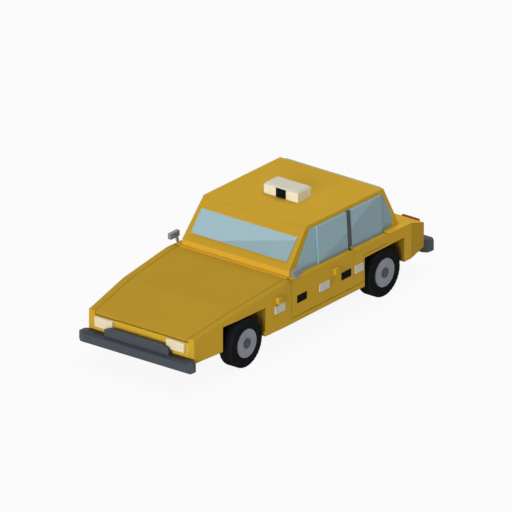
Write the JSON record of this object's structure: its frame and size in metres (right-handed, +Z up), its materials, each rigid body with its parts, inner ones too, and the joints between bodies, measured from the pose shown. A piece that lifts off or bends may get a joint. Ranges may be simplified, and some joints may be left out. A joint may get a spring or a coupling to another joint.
{
  "type": "taxi cab, four door saloon car",
  "caption": "Four door saloon taxi with slab sides, wedge nose, roof sign, hinged doors, hood and boot lid, steering front wheels and a hollow cabin.",
  "frame": {"origin": "on the ground, at the centre of the car's length and width", "axes": "+Z up, +X the car's left side, front faces -Y"},
  "size_m": [1.994, 5.03, 1.56],
  "materials": {
    "body_paint": "taxi yellow paint",
    "floor_paint": "dark underseal",
    "window_glass": "pale blue tint",
    "bumper_rubber": "dark grey",
    "lamp_lens": "cream lens",
    "red_lens": "red lens",
    "sign_plastic": "cream translucent plastic",
    "seat_fabric": "dark cloth",
    "cabin_plastic": "dark moulding",
    "mirror_grey": "grey",
    "engine_iron": "cast",
    "chassis_steel": "black chassis paint",
    "tyre_rubber": "road rubber",
    "wheel_grey": "grey wheel paint"
  },
  "bodies": {
    "chassis": {"nose_panel": "body_paint", "tail_panel": "body_paint", "roof_panel": "body_paint", "screen_frame": "body_paint", "rear_frame": "body_paint", "floor_pan": "floor_paint", "windscreen": "window_glass", "rear_window": "window_glass", "quarter_glass": "window_glass", "front_bumper": "bumper_rubber", "rear_bumper": "bumper_rubber", "headlamps": "lamp_lens", "tail_lamps": "red_lens", "roof_sign": "sign_plastic", "front_seats": "seat_fabric", "rear_seat": "seat_fabric", "dashboard": "cabin_plastic", "engine_block": "engine_iron", "front_axle": "chassis_steel", "rear_axle": "chassis_steel", "exhaust": "chassis_steel", "fuel_tank": "chassis_steel", "fender_left": "body_paint", "fender_right": "body_paint", "quarter_left": "body_paint", "quarter_right": "body_paint", "side_frame_left": "body_paint", "side_frame_right": "body_paint", "jack_sockets_left": "chassis_steel", "jack_sockets_right": "chassis_steel"},
    "hood": {"hood": "body_paint"},
    "boot_lid": {"boot_lid": "body_paint"},
    "door_front_left": {"door_front_left": "body_paint", "glass_front_left": "window_glass", "mirror_left": "mirror_grey"},
    "door_rear_left": {"door_rear_left": "body_paint", "glass_rear_left": "window_glass"},
    "door_front_right": {"door_front_right": "body_paint", "glass_front_right": "window_glass", "mirror_right": "mirror_grey"},
    "door_rear_right": {"door_rear_right": "body_paint", "glass_rear_right": "window_glass"},
    "steer_left": {"knuckle_left": "chassis_steel"},
    "wheel_front_left": {"tyre_front_left": "tyre_rubber", "rim_front_left": "wheel_grey"},
    "wheel_rear_left": {"tyre_rear_left": "tyre_rubber", "rim_rear_left": "wheel_grey"},
    "steer_right": {"knuckle_right": "chassis_steel"},
    "wheel_front_right": {"tyre_front_right": "tyre_rubber", "rim_front_right": "wheel_grey"},
    "wheel_rear_right": {"tyre_rear_right": "tyre_rubber", "rim_rear_right": "wheel_grey"}
  },
  "joints": [
    {"name": "hood_hinge", "type": "hinge", "parent": "chassis", "child": "hood", "pos_m": [0, -0.518, 0.86386], "axis": [-1, 0, 0], "range_deg": [0, 60]},
    {"name": "boot_hinge", "type": "hinge", "parent": "chassis", "child": "boot_lid", "pos_m": [0, 1.848, 0.81692], "axis": [1, 0, 0], "range_deg": [0, 70]},
    {"name": "door_front_left_hinge", "type": "hinge", "parent": "chassis", "child": "door_front_left", "pos_m": [0.933, -0.489, 0.6], "axis": [0, 0, -1], "range_deg": [0, 65]},
    {"name": "door_rear_left_hinge", "type": "hinge", "parent": "chassis", "child": "door_rear_left", "pos_m": [0.933, 0.787, 0.6], "axis": [0, 0, -1], "range_deg": [0, 65]},
    {"name": "door_front_right_hinge", "type": "hinge", "parent": "chassis", "child": "door_front_right", "pos_m": [-0.933, -0.489, 0.6], "axis": [0, 0, 1], "range_deg": [0, 65]},
    {"name": "door_rear_right_hinge", "type": "hinge", "parent": "chassis", "child": "door_rear_right", "pos_m": [-0.933, 0.787, 0.6], "axis": [0, 0, 1], "range_deg": [0, 65]},
    {"name": "steering_left", "type": "hinge", "parent": "chassis", "child": "steer_left", "pos_m": [0.76, -1.4, 0.325], "axis": [0, 0, 1], "range_deg": [-30, 30]},
    {"name": "wheel_front_left_spin", "type": "hinge", "parent": "steer_left", "child": "wheel_front_left", "pos_m": [0.8275, -1.4, 0.325], "axis": [1, 0, 0], "continuous": true},
    {"name": "wheel_rear_left_spin", "type": "hinge", "parent": "chassis", "child": "wheel_rear_left", "pos_m": [0.8275, 1.42, 0.325], "axis": [1, 0, 0], "continuous": true},
    {"name": "steering_right", "type": "hinge", "parent": "chassis", "child": "steer_right", "pos_m": [-0.76, -1.4, 0.325], "axis": [0, 0, 1], "range_deg": [-30, 30]},
    {"name": "wheel_front_right_spin", "type": "hinge", "parent": "steer_right", "child": "wheel_front_right", "pos_m": [-0.8275, -1.4, 0.325], "axis": [1, 0, 0], "continuous": true},
    {"name": "wheel_rear_right_spin", "type": "hinge", "parent": "chassis", "child": "wheel_rear_right", "pos_m": [-0.8275, 1.42, 0.325], "axis": [1, 0, 0], "continuous": true}
  ],
  "couplings": [
    {"joint": "steering_right", "follows": "steering_left", "ratio": 1}
  ]
}
